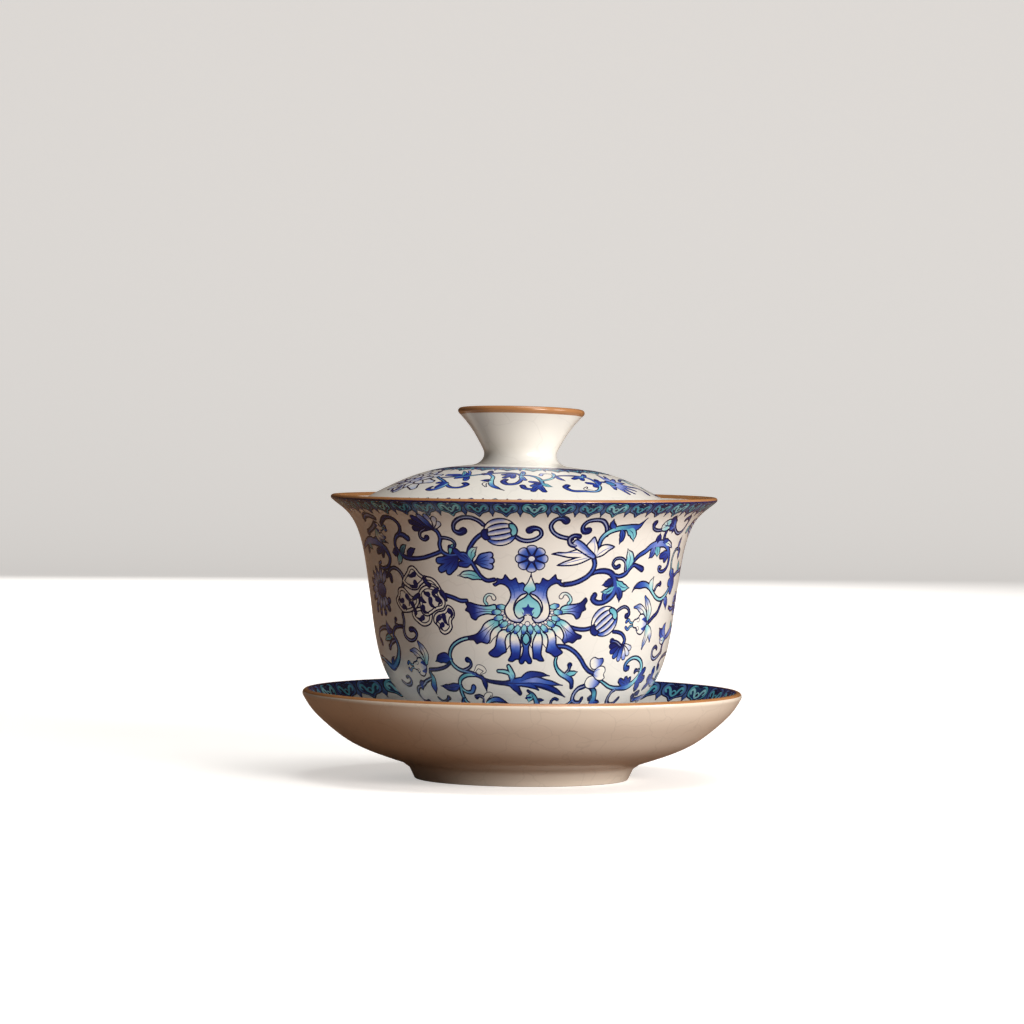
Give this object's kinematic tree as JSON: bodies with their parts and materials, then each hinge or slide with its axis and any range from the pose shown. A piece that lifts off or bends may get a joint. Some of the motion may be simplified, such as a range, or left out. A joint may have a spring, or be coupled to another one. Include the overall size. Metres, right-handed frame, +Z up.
{
  "type": "gaiwan",
  "caption": "Lidded porcelain tea bowl on its own saucer: flared cup, domed lid with a hollow trumpet knob, and a footed dish.",
  "frame": {"origin": "on the axis of the saucer and cup, in the plane that the saucer's foot ring stands on", "axes": "+Z up along the axis; -Y towards the viewer, the side where the lid sits slightly raised"},
  "size_m": [0.1142, 0.1142, 0.0968],
  "materials": {
    "saucer_glaze": "warm ivory gloss glaze, blue and turquoise scrolls on the inside",
    "cup_glaze": "warm ivory gloss glaze, blue and turquoise lotus scrolls on the outside",
    "lid_glaze": "warm ivory gloss glaze, blue and turquoise scrolls on the dome",
    "rim_glaze": "glossy iron-brown glaze on the edges",
    "bare_foot": "unglazed porcelain, matt"
  },
  "bodies": {
    "saucer": {"saucer": "saucer_glaze"},
    "cup": {"cup": "cup_glaze"},
    "lid": {"lid": "lid_glaze"}
  },
  "joints": [
    {"name": "cup_lift", "type": "slide", "parent": "saucer", "child": "cup", "axis": [0, 0, 1], "range_m": [0, 0.06]},
    {"name": "lid_lift", "type": "slide", "parent": "cup", "child": "lid", "axis": [0, 0, 1], "range_m": [0, 0.06]}
  ]
}
